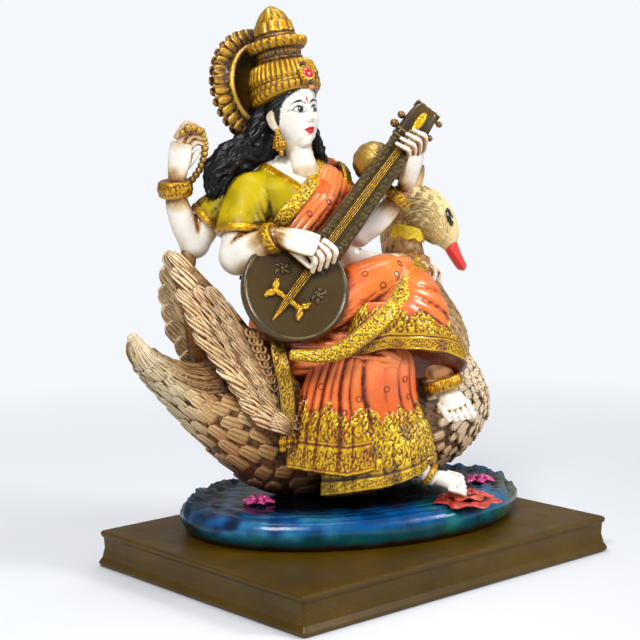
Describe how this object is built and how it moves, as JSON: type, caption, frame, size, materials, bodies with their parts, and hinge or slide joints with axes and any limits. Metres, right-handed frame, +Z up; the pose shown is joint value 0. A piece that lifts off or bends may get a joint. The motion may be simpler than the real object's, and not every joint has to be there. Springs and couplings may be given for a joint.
{
  "type": "saraswati figure",
  "caption": "Painted resin figure of a four-armed goddess with a lute, seated sideways on a swan over a pond, on a plain rectangular plinth.",
  "frame": {"origin": "centre of the plinth's underside", "axes": "+Z up, +X along the plinth's long side towards the swan's head, -Y the side that the goddess faces"},
  "size_m": [0.2542, 0.1924, 0.3373],
  "materials": {
    "plinth": "olive brown paint under gloss lacquer",
    "figure": "painted cast resin, brown antiquing in the hollows, gloss lacquer"
  },
  "bodies": {
    "root": {"plinth": "plinth", "figure": "figure"}
  },
  "joints": []
}
